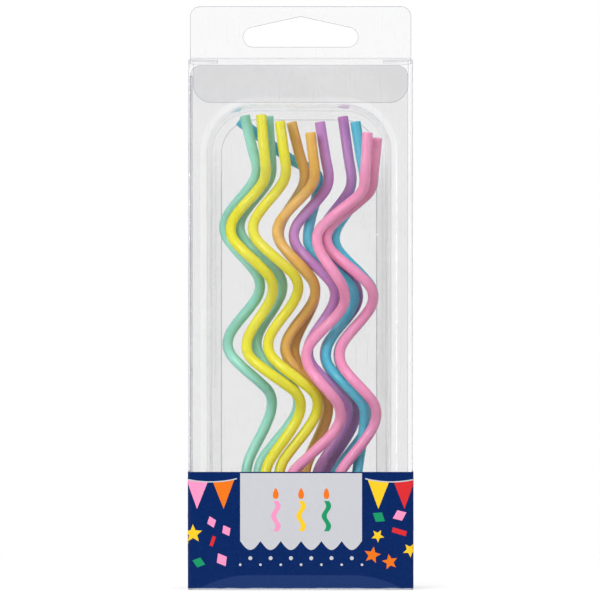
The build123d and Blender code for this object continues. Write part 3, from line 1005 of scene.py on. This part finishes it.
class CANDLES_OT_stage(bpy.types.Operator):
    """Set the floor, lights, surroundings and camera"""

    bl_idname = "candles.stage"
    bl_label = "Stage"

    def execute(self, context):
        settings = context.scene.candle_stage
        self.lay_floor(settings)
        self.surround(context, settings)
        self.hang_lights(settings)
        self.set_camera(context, settings)
        context.scene.view_settings.view_transform = "Standard"
        context.scene.cycles.transparent_max_bounces = 48
        return {"FINISHED"}

    def lay_floor(self, settings):
        """Pale floor that keeps the shadow under the box and runs out to white further off."""
        reach = 3.0
        corners = [(-reach, -reach, 0), (reach, -reach, 0), (reach, reach, 0), (-reach, reach, 0)]
        floor = link_object("floor", plain_mesh("floor", corners, [], [(0, 1, 2, 3)]))
        floor.location.z = -0.02 * MM
        material, tree = new_material("pale_floor")
        coords = object_coords(tree)
        looked_at, mirrored = straight_rays(tree)
        dim = between(tree, object_axes(tree)["Y"], -0.30, 0.10, ROOM[0][1], 1.0)
        shown = maths(tree, "MAXIMUM", looked_at, times(tree, mirrored, dim))
        far = add_node(tree, "ShaderNodeVectorMath", {0: coords}, operation="LENGTH").outputs["Value"]
        seen = maths(tree, "MAXIMUM", looked_at, mirrored)
        away = times(tree, seen, between(tree, far, 0.05, 0.20))
        matt = add_node(tree, "ShaderNodeBsdfPrincipled",
                        {"Base Color": (0.52, 0.52, 0.52, 1), "Roughness": 0.9, "Specular IOR Level": 0.1})
        lift = times(tree, shown, settings.floor_lift)
        glow = add_node(tree, "ShaderNodeEmission", {"Color": WHITE, "Strength": lift})
        near = add_node(tree, "ShaderNodeAddShader", {0: matt.outputs[0], 1: glow.outputs[0]})
        white = add_node(tree, "ShaderNodeEmission", {"Color": WHITE, "Strength": shown})
        whole = add_node(tree, "ShaderNodeMixShader", {0: away, 1: near.outputs[0], 2: white.outputs[0]})
        show(tree, whole)
        floor.data.materials.append(material)

    def surround(self, context, settings):
        """White for what the lens sees, a studio room for what is mirrored, and even fill on the rest."""
        world = bpy.data.worlds.new("Studio")
        world.use_nodes = True
        tree = world.node_tree
        tree.nodes.clear()
        output = tree.nodes.new("ShaderNodeOutputWorld")
        looked_at, mirrored = straight_rays(tree)
        direction = tree.nodes.new("ShaderNodeTexCoord").outputs["Generated"]
        way = add_node(tree, "ShaderNodeSeparateXYZ", {"Vector": direction})
        depth = add_node(tree, "ShaderNodeMapRange",
                         {"Value": way.outputs["Y"], "From Min": -1.0, "From Max": 1.0})
        room = add_node(tree, "ShaderNodeValToRGB", {"Fac": depth.outputs[0]})
        stops = room.color_ramp.elements
        for number, (place, level) in enumerate(ROOM):
            stop = stops[number] if number < 2 else stops.new(1.0)
            stop.position = (place + 1) / 2
            stop.color = (level, level, level, 1)
        even = (settings.fill, settings.fill, settings.fill, 1)
        lit = blend_colours(tree, mirrored, even, room.outputs["Color"])
        shown = blend_colours(tree, looked_at, lit, WHITE)
        sky = add_node(tree, "ShaderNodeBackground", {"Color": shown, "Strength": 1.0})
        tree.links.new(sky.outputs[0], output.inputs["Surface"])
        context.scene.world = world

    def hang_lights(self, settings):
        """Soft light above and left of the lens, a weaker one on the right, and a tall strip on the left."""
        middle = Vector((0, 0, 0.07))
        lamps = (
            ("key_light", (-0.50, -1.15, 0.75), (0.80, 0.80), settings.key),
            ("side_light", (0.95, -0.75, 0.45), (0.60, 0.60), 0.25 * settings.key),
            ("strip_light", (-0.70, -0.85, 0.15), (0.07, 0.90), 0.75 * settings.key),
        )
        for name, place, size, power in lamps:
            lamp = bpy.data.lights.new(name, "AREA")
            lamp.shape = "RECTANGLE"
            lamp.size, lamp.size_y = size
            lamp.energy = power
            light = link_object(name, lamp)
            light.location = place
            light.rotation_euler = (middle - Vector(place)).to_track_quat("-Z", "Y").to_euler()

    def set_camera(self, context, settings):
        """Level camera straight in front, whose view spans the setting at the front wall."""
        lens = bpy.data.cameras.new("camera")
        lens.sensor_width = 36.0
        lens.lens = lens.sensor_width * settings.distance / settings.view
        camera = link_object("camera", lens)
        camera.location = Vector(settings.aim) - Vector((0, settings.distance, 0))
        camera.rotation_euler = (math.pi / 2, 0, 0)
        context.scene.camera = camera


class CANDLES_PT_panel(bpy.types.Panel):
    """Lists the pieces in the sidebar"""

    bl_idname = "CANDLES_PT_panel"
    bl_label = "Boxed candles"
    bl_space_type = "VIEW_3D"
    bl_region_type = "UI"
    bl_category = "Candles"

    def draw(self, context):
        for operator in OPERATORS:
            self.layout.operator(operator.bl_idname)


OPERATORS = (CANDLES_OT_stage, CANDLES_OT_wax, CANDLES_OT_wicks, CANDLES_OT_sheets, CANDLES_OT_band)
SETTINGS = {
    "candle_wax": WaxSettings,
    "candle_wicks": WickSettings,
    "candle_sheets": SheetSettings,
    "candle_print": PrintSettings,
    "candle_stage": StageSettings,
}


def register():
    for group in SETTINGS.values():
        bpy.utils.register_class(group)
    for operator in OPERATORS:
        bpy.utils.register_class(operator)
    bpy.utils.register_class(CANDLES_PT_panel)
    for name, group in SETTINGS.items():
        setattr(bpy.types.Scene, name, PointerProperty(type=group))


def unregister():
    for name in SETTINGS:
        delattr(bpy.types.Scene, name)
    bpy.utils.unregister_class(CANDLES_PT_panel)
    for operator in reversed(OPERATORS):
        bpy.utils.unregister_class(operator)
    for group in reversed(SETTINGS.values()):
        bpy.utils.unregister_class(group)


def main():
    register()
    bpy.ops.candles.stage()
    bpy.ops.candles.wax()
    bpy.ops.candles.wicks()
    bpy.ops.candles.sheets()
    bpy.ops.candles.band()


if __name__ == "__main__":
    main()
